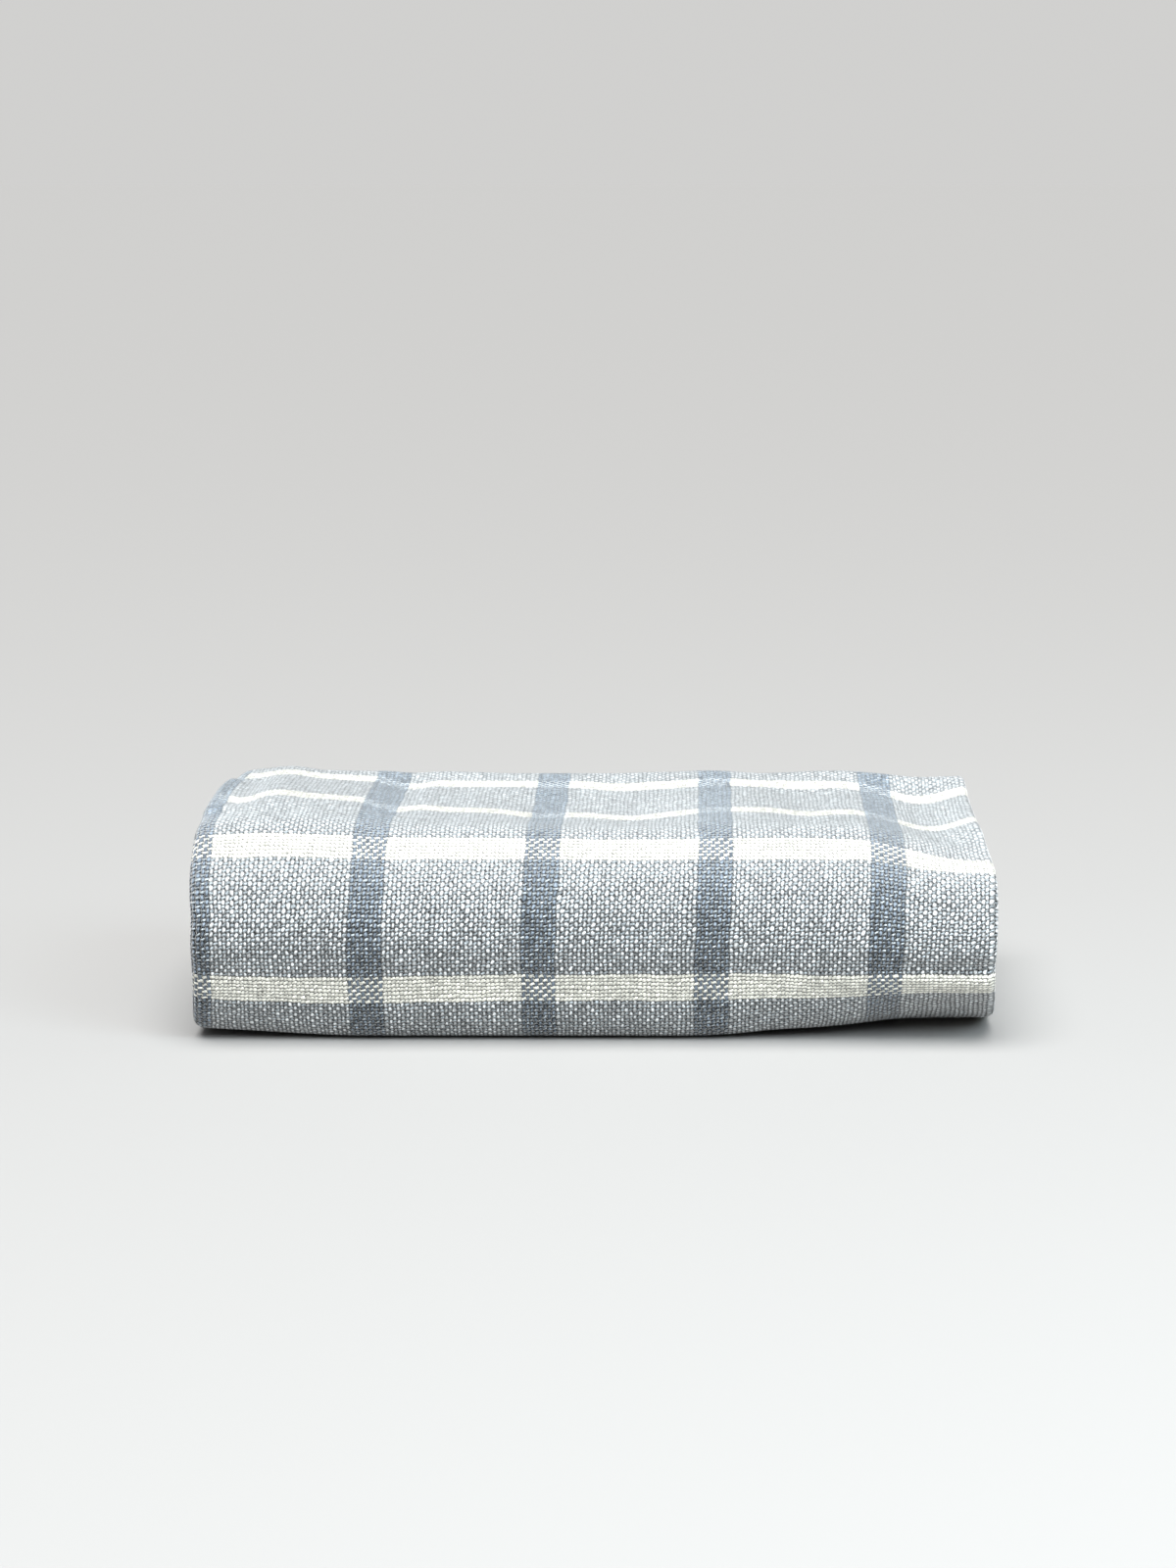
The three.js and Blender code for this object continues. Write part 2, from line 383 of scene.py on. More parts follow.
def folded_sheet():
    """The cloth's closed surface as a grid: its section, which goes once round both faces and both
    rounded edges, is carried along the strips' course. Returns points[row, ring, 3] in the fold's
    frame, flat distances u[ring] and v[row], the ring's number of columns on one face, the flat
    distance of each column, and where the first turn starts along the cloth."""
    across = across_course()
    along = along_course()
    columns = len(across)
    arc_u = np.r_[0, np.cumsum(np.hypot(np.diff(across[:, 0]), np.diff(across[:, 1])))]
    edge = np.radians(SELVEDGE_ROUND)
    ring = np.r_[
        np.arange(columns), [columns - 1] * len(edge), np.arange(columns)[::-1], [0] * len(edge)]
    side = np.r_[np.ones(columns), np.sin(edge), -np.ones(columns), np.sin(edge[::-1])]
    past = np.r_[np.zeros(columns), np.cos(edge), np.zeros(columns), -np.cos(edge)]
    ring_u = arc_u[ring] + past * HALF_PLY

    # The rows, with a few more at each end where the edge is rounded off
    end = np.radians(END_ROUND)
    row = np.r_[[0] * len(end), np.arange(len(along)), [len(along) - 1] * len(end)]
    full = np.r_[np.sin(end), np.ones(len(along)), np.sin(end[::-1])]
    beyond = np.r_[np.cos(end), np.zeros(len(along)), np.cos(end[::-1])]

    # Flat distances along the cloth are those of the outer ply where it is on the outside
    outer = HALF_PLY + PLY_PITCH
    edge_y = along[:, 0] + along[:, 2] * outer * along[:, 4]
    edge_z = along[:, 1] + along[:, 3] * outer * along[:, 4]
    _, edge_y, edge_z = settle(edge_y * 0, edge_y, edge_z)
    arc_v = np.r_[0, np.cumsum(np.hypot(np.diff(edge_y), np.diff(edge_z)))]
    from_end = np.minimum(arc_v, arc_v[-1] - arc_v)[row]
    half = HALF_PLY + (HALF_HEM - HALF_PLY) * (1 - ease(HEM_THINS_FROM, HEM_THINS_TO, from_end))

    from_middle = side[None, :] * (half * full)[:, None]
    x = across[ring, 0] + across[ring, 2] * from_middle - past * HALF_PLY
    height = across[ring, 1] + across[ring, 3] * from_middle
    y = along[row, 0][:, None] + along[row, 2][:, None] * height + (beyond * half)[:, None]
    z = along[row, 1][:, None] + along[row, 3][:, None] * height
    points = np.stack(settle(x, y, z), axis=2)
    v = arc_v[row] + np.r_[-beyond[:len(end)], beyond[len(end):]] * HALF_HEM
    return points, ring_u, v, columns, arc_u, arc_v[FIRST_HEM_STEPS + RUN_STEPS[STRIPS[0][0]]]


def closed_mesh(name, points):
    """A mesh of quads between neighbouring rows, closed round the ring. Both end rows are capped
    by quads between the two faces, and by one face of five corners at each rounded edge."""
    rows, ring = points.shape[:2]
    rounded = len(SELVEDGE_ROUND)
    columns = ring // 2 - rounded
    number = np.arange(rows * ring).reshape(rows, ring)
    onward = np.roll(number, -1, axis=1)
    sides = np.stack([number[:-1], onward[:-1], onward[1:], number[1:]], axis=2).reshape(-1, 4)
    near = np.arange(columns - 1)
    far = ring - 1 - rounded - near
    caps = np.column_stack([near, far, far - 1, near + 1])
    last = (rows - 1) * ring
    quads = np.vstack([sides, caps, last + caps[:, ::-1]])
    right = np.arange(columns - 1, columns + 1 + rounded)
    left = np.r_[np.arange(ring - 1 - rounded, ring), 0]
    corners = [right[::-1].tolist(), left[::-1].tolist(), (last + right).tolist(), (last + left).tolist()]
    mesh = bpy.data.meshes.new(name)
    mesh.from_pydata(points.reshape(-1, 3) * METRE, [], quads.tolist() + corners)
    mesh.validate()
    return mesh


def ints(collection, name):
    """One whole number for each of a mesh's corners or faces."""
    values = np.empty(len(collection), int)
    collection.foreach_get(name, values)
    return values


def weft_counts(from_turn):
    """The weft's number at a flat distance past the front turn's start: that distance in wefts
    from the low stripe's middle, plus the number of the weft there."""
    return (from_turn - LOW_STRIPE_ARC) / WEFT_PITCH + (STRIPE_COUNT_THERE * CHECK_WEFTS + STRIPE_WEFTS / 2)


def add_weave_map(mesh, ring_u, v, arc_u, turn_v):
    """A UV map of yarn counts: flat distances over the yarn pitches, from one band's and one
    stripe's middle, plus the drifts."""
    row, place = np.divmod(ints(mesh.loops, "vertex_index"), len(ring_u))
    outer_start = arc_u[HIDDEN_PLY_STEPS + LEFT_FOLD_STEPS]
    band_u = outer_start + BAND_X + FOLDED_WIDTH / 2 - HALF_PLY - PLY_PITCH
    warps = (ring_u - band_u) / WARP_PITCH + BAND_COUNT_THERE * CHECK_WARPS + BAND_WARPS / 2
    flat_x, flat_y = ring_u[place] + BAND_X - band_u, v[row] - turn_v
    warps = warps[place] + bells(WARP_DRIFT, flat_x, flat_y)
    wefts = weft_counts(v - turn_v)[row] + bells(WEFT_DRIFT, flat_x, flat_y)
    weave = mesh.uv_layers.new(name="weave")
    weave.data.foreach_set("uv", np.column_stack([warps, wefts]).ravel())
    mesh.uv_layers.active = weave


def add_bake_map(mesh, ring_size, v, columns, turn_v):
    """A UV map without overlaps: the ring's steps side by side and the rows end to end, each as
    long as its weight, with more room for the outer ply and for the rows that show."""
    row, place = np.divmod(ints(mesh.loops, "vertex_index"), ring_size)

    # Where each corner is round the ring, with the last step going on instead of starting again
    loop_start = ints(mesh.polygons, "loop_start")
    loop_total = ints(mesh.polygons, "loop_total")
    top_place = np.repeat(np.maximum.reduceat(place, loop_start), loop_total)
    wraps = (top_place == ring_size - 1) & (place == 0)
    along_ring = np.where(wraps, ring_size, place)

    outer_ply_end = HIDDEN_PLY_STEPS + LEFT_FOLD_STEPS + OUTER_PLY_STEPS + RIGHT_FOLD_STEPS
    weight = np.ones(ring_size)
    weight[HIDDEN_PLY_STEPS:outer_ply_end] = OUTER_PLY_ROOM
    weight[columns:] = LOWER_FACE_ROOM
    across_at = np.r_[0, np.cumsum(weight)]
    seen = (v[1:] > turn_v - SEEN_BEFORE) & (v[1:] < turn_v + SEEN_AFTER)
    along_at = np.r_[0, np.cumsum(np.diff(v) * np.where(seen, SEEN_ROOM, 1.0))]
    inside = 1 - 2 * BAKE_MARGIN
    share_u = BAKE_MARGIN + inside * across_at[along_ring] / across_at[-1]
    share_v = BAKE_MARGIN + inside * along_at[row] / along_at[-1]
    bake = mesh.uv_layers.new(name="OFBake")
    bake.data.foreach_set("uv", np.column_stack([share_u, share_v]).ravel())


# The mix node's sockets for colours, because its other kinds of sockets share their names
MIX_INPUTS = (0, 6, 7)
MIX_OUTPUT = 2


class Sums:
    """Short forms for a node tree's nodes: each call adds one node and gives its output."""

    def __init__(self, tree):
        self.nodes = tree.nodes
        self.links = tree.links
        self.nodes.clear()

    def put(self, socket, value):
        """Links an output to the socket, or sets a plain value on it."""
        if isinstance(value, bpy.types.NodeSocket):
            self.links.new(value, socket)
        else:
            socket.default_value = value

    def math(self, operation, *values):
        """One step of arithmetic on the values."""
        node = self.nodes.new("ShaderNodeMath")
        node.operation = operation
        for socket, value in zip(node.inputs, values):
            self.put(socket, value)
        return node.outputs[0]

    def add(self, a, b):
        """a + b."""
        return self.math("ADD", a, b)

    def less(self, a, b):
        """a - b."""
        return self.math("SUBTRACT", a, b)

    def times(self, a, b):
        """a times b."""
        return self.math("MULTIPLY", a, b)

    def size(self, a):
        """a without its sign."""
        return self.math("ABSOLUTE", a)

    def ramp(self, value, low, high, to_low=0.0, to_high=1.0):
        """to_low where the value is low, to_high where it is high, straight between and level past
        them."""
        node = self.nodes.new("ShaderNodeMapRange")
        node.clamp = True
        for socket, given in zip(node.inputs, (value, low, high, to_low, to_high)):
            self.put(socket, given)
        return node.outputs[0]

    def between(self, share, at_0, at_1):
        """at_0 where the share is 0, at_1 where it is 1, and straight between."""
        return self.ramp(share, 0.0, 1.0, at_0, at_1)

    def place(self, x, y, z):
        """A place, or a colour, from its three numbers."""
        node = self.nodes.new("ShaderNodeCombineXYZ")
        for socket, value in zip(node.inputs, (x, y, z)):
            self.put(socket, value)
        return node.outputs[0]

    def noise(self, where, detail=1.0, roughness=0.5):
        """Smooth noise around 0.5, in waves about one unit of the place long."""
        node = self.nodes.new("ShaderNodeTexNoise")
        self.put(node.inputs["Vector"], where)
        self.put(node.inputs["Scale"], 1.0)
        self.put(node.inputs["Detail"], detail)
        self.put(node.inputs["Roughness"], roughness)
        return node.outputs[0]

    def chance(self, number):
        """A number from 0 to 1 of its own for each given number."""
        node = self.nodes.new("ShaderNodeTexWhiteNoise")
        node.noise_dimensions = "1D"
        self.put(node.inputs["W"], number)
        return node.outputs[0]

    def mix(self, share, a, b, blend="MIX"):
        """Colour a where the share is 0, and b, or b blended with a, where it is 1."""
        node = self.nodes.new("ShaderNodeMix")
        node.data_type = "RGBA"
        node.blend_type = blend
        node.clamp_factor = True
        for index, value in zip(MIX_INPUTS, (share, a, b)):
            self.put(node.inputs[index], value)
        return node.outputs[MIX_OUTPUT]

    def shaded(self, colour, tone):
        """The colour times the tone."""
        return self.mix(1.0, colour, self.place(tone, tone, tone), "MULTIPLY")

    def matt_surface(self, colour, roughness, specular):
        """A matt shader, already joined to the tree's output."""
        shader = self.nodes.new("ShaderNodeBsdfPrincipled")
        self.put(shader.inputs["Base Color"], colour)
        shader.inputs["Roughness"].default_value = roughness
        shader.inputs["Specular IOR Level"].default_value = specular
        out = self.nodes.new("ShaderNodeOutputMaterial")
        self.links.new(shader.outputs[0], out.inputs["Surface"])
        return shader


# Yarn and thread colours
WHITE_WARP = (0.91, 0.945, 0.96, 1)
SLATE_WARP = (0.29, 0.35, 0.42, 1)
GREY_WEFT = (0.41, 0.46, 0.49, 1)
CREAM_WEFT = (0.96, 0.955, 0.865, 1)
STRIPE_WARP = (0.95, 0.945, 0.86, 1)
STITCH_THREAD = (0.93, 0.93, 0.90, 1)

# The cloth's finish
CLOTH_ROUGHNESS = 0.92
CLOTH_SPECULAR = 0.2
CLOTH_SHEEN = 1.0
CLOTH_SHEEN_ROUGHNESS = 0.25

# How the yarns wander sideways, in long and in short waves: waves to a yarn across and along the
# cloth, the noise's layer, and the sway in yarns. Noise stays near its middle, so it is spread
NOISE_MIDDLE = 0.5
NOISE_SPREAD = 1.6
WARP_WANDER = [
    (0.22, 0.10, 1.0, 0.6),
    (0.45, 0.85, 3.0, 0.36),
]
WEFT_WANDER = [
    (0.09, 0.22, 7.0, 0.6),
    (0.85, 0.45, 9.0, 0.36),
]

# Other noises on the yarn counts: waves to a yarn across and along, layer. Each is read between
# two of its values
FIBRE_NOISE = (1.7, 1.7, 5.0)
FIBRE_DETAIL = 3.0
FIBRE_NOISE_ROUGHNESS = 0.8
FIBRE_READ = (0.35, 0.65)
SPECKLE_NOISE = (0.75, 0.33, 13.0)
SPECKLE_DETAIL = 2.0
SPECKLE_NOISE_ROUGHNESS = 0.7
SPECKLE_READ = (0.32, 0.68)
PATCH_NOISE = (0.045, 0.03, 17.0)
PATCH_READ = (0.3, 0.7)

# Slubs: noise waves to a yarn's pitch along it, how far apart two yarns read the noise, layers
SLUB_WAVES = 0.35
SLUB_APART = 3.7
WARP_SLUB_LAYER = 3.0
WEFT_SLUB_LAYER = 11.0
SLUB_READ = (0.3, 0.7)

# The weave's relief: RELIEF is in millimetres, and heights are shares of it. Widths are shares of
# a yarn's pitch, in the ground and bands, and in the stripes. Tilts are how far a yarn leans
# sideways for each step along it
RELIEF = 0.9
WARP_LIFT = 0.17
WEFT_LIFT = 0.17
STRIPE_WARP_LIFT = 0.06
STRIPE_WEFT_LIFT = 0.18
YARN_RADIUS = 0.32
YARN_SIDE_FALL = 6.0
GAP_DEPTH = -0.3
WARP_HALF = 0.40
WEFT_HALF = 0.30
STRIPE_WARP_HALF = 0.52
STRIPE_WEFT_HALF = 0.45
CROSSING_NARROWER = 0.10
BAND_NARROWER = 0.025
YARN_VARIES = 0.075
WARP_TILT = 0.12
WEFT_TILT = 0.3

# Painted shade, as factors of the colour: on the slate where it crosses a stripe, in the grooves
# between a stripe's wefts and from how far beside a weft's middle they lie, and in the gaps between
# yarns, by height
CROSSING_SHADE = 0.68
STRIPE_GROOVE_SHADE = 0.38
GROOVE_PLACE = (0.30, 0.5)
HOLE_SHADE = 0.02
HOLE_FROM = 0.10
HOLE_TO = 0.45
STRIPE_HOLE_FROM = 0.02
STRIPE_HOLE_TO = 0.35

# Uneven dye and spinning, as tones that multiply the colour: each crossing's own, the most that
# a yarn's own adds, the fibres' darkest and lightest, and broad patches
CROSSING_TONES = (0.74, 1.14)
WARP_OWN_TONE = 0.10
WEFT_OWN_TONE = 0.16
WARP_FIBRE_TONES = (0.62, 1.12)
WEFT_FIBRE_TONES = (0.42, 1.42)
PATCH_TONES = (0.965, 1.035)
SPECKLE = 0.05

# Steps that give each crossing, and each weft beside the warp of its number, a chance of its own
WEFT_CHANCE_STEP = 0.613
WEFT_CHANCE_START = 0.37

# On top, and in the cloth that comes after it: from which weft counts on, how much lighter the
# painted shade in the holes is, how much painted sheen pales the bands, how far the raised nap hides
# the cream in crossings, how much of the relief is left, how much painted shade dims the ground, and
# how strongly both are mottled
TOP_FROM = 250
TOP_FULL = 266
TOP_HOLE_SHADE = 0.5
TOP_BAND_PAINTED_SHEEN = 1.3
TOP_WEFT_HIDDEN = 0.7
TOP_RELIEF = 0.4
TOP_SHADE = 0.78
TOP_SPECKLE = 0.24
TOP_BAND_SPECKLE = 0.34

# Low on the front, and in the cloth that comes before it, painted light and shade make the yarns
# stand out more: between which weft counts, the power their tones are raised to, and how much
# brighter the painted light makes them
LOW_FROM = 242
LOW_FULL = 222
LOW_PAINTED_CONTRAST = 1.7
LOW_BAND_PAINTED_CONTRAST = 2.3
LOW_PAINTED_LIGHT = 1.17
LOW_BAND_PAINTED_LIGHT = 1.27

# In the low stripe the painted shade in the grooves between the wefts is darker, and painted light
# makes the wefts a little brighter
LOW_STRIPE_GROOVE_SHADE = 0.12
LOW_STRIPE_PAINTED_LIGHT = 1.07

# Hem stitches: how far from the end in millimetres, warps each stitch takes, its half width in
# wefts, the share of it that is full thread, where along its warps it ends, how dark the painted
# shade on its rounded edges is, and its height
STITCH_FROM_END = 7.4
STITCH_WARPS = 3.0
STITCH_HALF = 0.42
STITCH_FULL = 0.6
STITCH_ENDS = (0.42, 0.38)
STITCH_EDGE_SHADE = 0.55
STITCH_LIFT = 0.35


def counted_noise(sums, weave, where, detail=1.0, roughness=0.5):
    """Noise on the yarn counts times the waves to a yarn, in the layer that where gives."""
    across, along, layer = where
    place = sums.place(sums.times(weave.warp_count, across), sums.times(weave.weft_count, along), layer)
    return sums.noise(place, detail, roughness)


def wander(sums, weave, rows):
    """The sum of two noises, each less its middle and times its sway."""
    sways = []
    for across, along, layer, sway in rows:
        noise = counted_noise(sums, weave, (across, along, layer))
        sways.append(sums.times(sums.less(noise, NOISE_MIDDLE), sway * NOISE_SPREAD))
    return sums.add(*sways)


def yarn_places(sums):
    """Where each point lies in the weave: the weave map's counts, u and v with the yarns' wander
    added, the whole numbers of its warp and weft, how far it is from their middle lines, and a
    sign that is 1 where the sum of the two numbers is odd and the warp on top, and -1 elsewhere."""
    counts = sums.nodes.new("ShaderNodeUVMap")
    counts.uv_map = "weave"
    split = sums.nodes.new("ShaderNodeSeparateXYZ")
    sums.links.new(counts.outputs[0], split.inputs[0])
    weave = SimpleNamespace(warp_count=split.outputs[0], weft_count=split.outputs[1])
    weave.u = sums.add(weave.warp_count, wander(sums, weave, WARP_WANDER))
    weave.v = sums.add(weave.weft_count, wander(sums, weave, WEFT_WANDER))
    weave.warp = sums.math("FLOOR", weave.u)
    weave.weft = sums.math("FLOOR", weave.v)
    weave.off_u = sums.less(sums.math("FRACT", weave.u), 0.5)
    weave.off_v = sums.less(sums.math("FRACT", weave.v), 0.5)
    odd = sums.math("FLOORED_MODULO", sums.add(weave.warp, weave.weft), 2.0)
    weave.sign = sums.less(sums.times(odd, 2.0), 1.0)
    return weave


def add_check(sums, weave):
    """Adds to the weave which points are in a band, in a stripe and where these cross, as 0 or 1,
    and how far a point is on top of the pile or low on its front, outside a stripe or in it."""
    band_place = sums.math("FLOORED_MODULO", weave.warp, float(CHECK_WARPS))
    stripe_place = sums.math("FLOORED_MODULO", weave.weft, float(CHECK_WEFTS))
    weave.in_band = sums.math("LESS_THAN", band_place, BAND_WARPS - 0.5)
    weave.in_stripe = sums.math("LESS_THAN", stripe_place, STRIPE_WEFTS - 0.5)
    weave.in_crossing = sums.times(weave.in_band, weave.in_stripe)
    weave.not_stripe = sums.less(1.0, weave.in_stripe)
    weave.on_top = sums.ramp(weave.weft_count, TOP_FROM, TOP_FULL)
    low_front = sums.ramp(weave.weft_count, LOW_FULL, LOW_FROM, 1.0, 0.0)
    weave.low = sums.times(low_front, weave.not_stripe)
    weave.low_stripe = sums.times(low_front, weave.in_stripe)


def yarn_colours(sums, weave):
    """The warp's and the weft's plain colour: slate in bands, darkened by painted shade where a band
    crosses a stripe, cream in stripes, white and grey elsewhere. On top the nap hides most of the
    cream where a band crosses a stripe."""
    # Painted shade on the slate where it crosses a stripe
    slate = sums.shaded(SLATE_WARP, sums.between(weave.in_crossing, 1.0, CROSSING_SHADE))
    light_warp = sums.mix(weave.in_stripe, WHITE_WARP, STRIPE_WARP)
    weft_colour = sums.mix(weave.in_stripe, GREY_WEFT, CREAM_WEFT)
    hidden = sums.times(sums.times(weave.on_top, weave.in_crossing), TOP_WEFT_HIDDEN)
    return sums.mix(weave.in_band, light_warp, slate), sums.mix(hidden, weft_colour, SLATE_WARP)


def yarn_half(sums, weave, half, stripe_half, slub):
    """A yarn's half width: thinner or thicker by its slub, and narrower in bands and crossings."""
    narrower = sums.add(
        sums.times(weave.in_crossing, CROSSING_NARROWER), sums.times(weave.in_band, BAND_NARROWER))
    plain = sums.between(weave.in_stripe, half, stripe_half)
    return sums.less(sums.add(plain, sums.ramp(slub, *SLUB_READ, -YARN_VARIES, YARN_VARIES)), narrower)


def yarn_height(sums, off_side, half, off_along, lift):
    """The lift times the cosine of the way along to the next crossing, plus the radius times the
    half round of the yarn's section, which falls away steeply past its sides."""
    side = sums.size(sums.math("DIVIDE", off_side, half))
    section = sums.math("SQRT", sums.math("MAXIMUM", sums.less(1.0, sums.times(side, side)), 0.0))
    beside = sums.math("MAXIMUM", sums.less(side, 1.0), 0.0)
    section = sums.less(section, sums.times(beside, YARN_SIDE_FALL))
    wave = sums.math("COSINE", sums.times(off_along, math.pi))
    return sums.add(sums.times(lift, wave), sums.times(section, YARN_RADIUS))


def add_heights(sums, weave):
    """Adds to the weave the higher yarn's height, or the gap's where neither yarn lies, which of
    the two shows, and how far beside the weft's middle a point is."""
    warp_noise = sums.place(
        sums.times(weave.warp, SLUB_APART), sums.times(weave.v, SLUB_WAVES), WARP_SLUB_LAYER)
    weft_noise = sums.place(
        sums.times(weave.u, SLUB_WAVES), sums.times(weave.weft, SLUB_APART), WEFT_SLUB_LAYER)
    warp_half = yarn_half(sums, weave, WARP_HALF, STRIPE_WARP_HALF, sums.noise(warp_noise))
    weft_half = yarn_half(sums, weave, WEFT_HALF, STRIPE_WEFT_HALF, sums.noise(weft_noise))
    warp_lift = sums.times(weave.sign, sums.between(weave.in_stripe, WARP_LIFT, STRIPE_WARP_LIFT))
    weft_lift = sums.times(
        sums.times(weave.sign, -1.0), sums.between(weave.in_stripe, WEFT_LIFT, STRIPE_WEFT_LIFT))
    warp_side = sums.less(weave.off_u, sums.times(weave.off_v, WARP_TILT))
    weave.weft_side = sums.less(weave.off_v, sums.times(weave.off_u, WEFT_TILT))
    warp_height = yarn_height(sums, warp_side, warp_half, weave.off_v, warp_lift)
    weft_height = yarn_height(sums, weave.weft_side, weft_half, weave.off_u, weft_lift)
    weave.height = sums.math("MAXIMUM", sums.math("MAXIMUM", warp_height, weft_height), GAP_DEPTH)
    weave.warp_shows = sums.math("GREATER_THAN", warp_height, weft_height)


def toned_yarns(sums, weave):
    """The colour of the yarn that shows, times its own tone and the painted shade of its depth, darkest
    in the gaps between yarns. Low on the front both tones are raised to a power, painted light and
    shade that make the yarns stand out more."""
    # Painted light and shade: low on the front the tones are raised to a power so the yarns stand out
    band_painted_contrast = sums.between(weave.in_band, LOW_PAINTED_CONTRAST, LOW_BAND_PAINTED_CONTRAST)
    painted_contrast = sums.between(weave.low, 1.0, band_painted_contrast)
    fibre = counted_noise(sums, weave, FIBRE_NOISE, FIBRE_DETAIL, FIBRE_NOISE_ROUGHNESS)
    crossing = sums.chance(sums.add(weave.warp, sums.times(weave.weft, WEFT_CHANCE_STEP)))
    crossing_tone = sums.between(crossing, *CROSSING_TONES)

    def tone(yarn, own_tone, fibre_tones):
        """The crossing's tone times the sum of the yarn's own and its fibres', to a power."""
        own = sums.times(sums.chance(yarn), own_tone)
        tone_there = sums.times(crossing_tone, sums.add(own, sums.ramp(fibre, *FIBRE_READ, *fibre_tones)))
        return sums.math("POWER", tone_there, painted_contrast)

    warp_colour, weft_colour = yarn_colours(sums, weave)
    warp_tone = tone(weave.warp, WARP_OWN_TONE, WARP_FIBRE_TONES)
    weft_tone = tone(sums.add(weave.weft, WEFT_CHANCE_START), WEFT_OWN_TONE, WEFT_FIBRE_TONES)
    colour = sums.mix(
        weave.warp_shows, sums.shaded(weft_colour, weft_tone), sums.shaded(warp_colour, warp_tone))
    # Painted shade: darker the lower the yarn lies, near black in the gaps between yarns
    painted_depth_shade = sums.ramp(
        weave.height,
        sums.between(weave.in_stripe, HOLE_FROM, STRIPE_HOLE_FROM),
        sums.between(weave.in_stripe, HOLE_TO, STRIPE_HOLE_TO),
        sums.between(weave.on_top, HOLE_SHADE, TOP_HOLE_SHADE), 1.0)
    return sums.shaded(colour, sums.math("POWER", painted_depth_shade, painted_contrast))


def cloth_tone(sums, weave):
    """The tone of the cloth as a whole: the product of its broad patches, the factors of its places on
    the pile, and one plus its speckles. The factors are painted: sheen that pales the top's bands,
    shade that dims the top's ground, and light that brightens the cloth low on the front and in the
    low stripe."""
    patches = sums.ramp(counted_noise(sums, weave, PATCH_NOISE), *PATCH_READ, *PATCH_TONES)
    painted_low_light = sums.between(weave.in_band, LOW_PAINTED_LIGHT, LOW_BAND_PAINTED_LIGHT)
    # Painted sheen on the top's bands, painted shade on its ground, painted light low on the front
    painted_light_factor = sums.between(sums.times(weave.on_top, weave.in_band), 1.0, TOP_BAND_PAINTED_SHEEN)
    for share, full in (
            (sums.times(weave.on_top, weave.not_stripe), TOP_SHADE),
            (weave.low, painted_low_light),
            (weave.low_stripe, LOW_STRIPE_PAINTED_LIGHT)):
        painted_light_factor = sums.times(painted_light_factor, sums.between(share, 1.0, full))
    speckle_noise = counted_noise(sums, weave, SPECKLE_NOISE, SPECKLE_DETAIL, SPECKLE_NOISE_ROUGHNESS)
    top_speckle = sums.between(weave.in_band, TOP_SPECKLE, TOP_BAND_SPECKLE)
    speckle = sums.times(
        sums.ramp(speckle_noise, *SPECKLE_READ, -1.0, 1.0), sums.between(weave.on_top, SPECKLE, top_speckle))
    return sums.times(sums.times(patches, painted_light_factor), sums.add(1.0, speckle))


def painted_groove_shade(sums, weave):
    """Painted shade between the wefts of a stripe, outside its crossings."""
    between_wefts = sums.ramp(sums.size(weave.weft_side), *GROOVE_PLACE)
    groove = sums.times(between_wefts, sums.less(weave.in_stripe, weave.in_crossing))
    return sums.between(groove, 1.0, sums.between(weave.low_stripe, STRIPE_GROOVE_SHADE, LOW_STRIPE_GROOVE_SHADE))


def add_stitches(sums, weave, colour, hem_counts):
    """A row of thread stitches along each hem count, each a rounded bar on top of the yarns: the
    share of thread falls off beside the row and towards each stitch's ends, and painted shade darkens
    the thread towards the row's edges. Raises the weave's height there and returns the colour with
    the thread laid over it."""
    from_rows = [sums.size(sums.less(weave.weft_count, float(count))) for count in hem_counts]
    from_row = sums.math("MINIMUM", *from_rows)
    along = sums.math("FRACT", sums.times(weave.warp_count, 1 / STITCH_WARPS))
    beside_middle = sums.size(sums.less(along, 0.5))
    stitch = sums.times(
        sums.ramp(from_row, STITCH_HALF, STITCH_HALF * STITCH_FULL), sums.ramp(beside_middle, *STITCH_ENDS))
    weave.height = sums.add(weave.height, sums.times(stitch, STITCH_LIFT))
    # Painted shade on the stitch's rounded edges
    thread_edge_shade = sums.ramp(from_row, 0.0, STITCH_HALF, 1.0, STITCH_EDGE_SHADE)
    return sums.mix(stitch, colour, sums.shaded(STITCH_THREAD, thread_edge_shade))


def woven_cloth(hem_counts):
    """Plain weave on the yarn counts of the weave map. At each crossing the sum of the two yarn
    numbers, odd or even, says which yarn is on top. A yarn's height is its crossing's sign times
    the cosine of the way to the next crossing, plus the half round of its section; the higher
    yarn shows, and where neither lies there is a gap, dark with painted shade. The colour also
    carries painted shade in grooves and crossings, and painted light and sheen by place on the pile.
    Along each hem count runs a row of thread stitches."""
    material = bpy.data.materials.new("woven_cloth")
    material.use_nodes = True
    sums = Sums(material.node_tree)
    weave = yarn_places(sums)
    add_check(sums, weave)
    add_heights(sums, weave)
    colour = sums.shaded(toned_yarns(sums, weave), cloth_tone(sums, weave))
    colour = sums.shaded(colour, painted_groove_shade(sums, weave))
    colour = add_stitches(sums, weave, colour, hem_counts)

    bump = sums.nodes.new("ShaderNodeBump")
    bump.inputs["Distance"].default_value = RELIEF * METRE
    sums.put(bump.inputs["Strength"], sums.between(weave.on_top, 1.0, TOP_RELIEF))
    sums.put(bump.inputs["Height"], weave.height)
    shader = sums.matt_surface(colour, CLOTH_ROUGHNESS, CLOTH_SPECULAR)
    shader.inputs["Sheen Weight"].default_value = CLOTH_SHEEN
    shader.inputs["Sheen Roughness"].default_value = CLOTH_SHEEN_ROUGHNESS
    sums.put(shader.inputs["Normal"], bump.outputs[0])
    return material


def to_part_frame(points):
    """Points of the fold's frame moved to the part's frame."""
    return points - np.array([PART_ORIGIN_X, PART_ORIGIN_Y, 0.0])


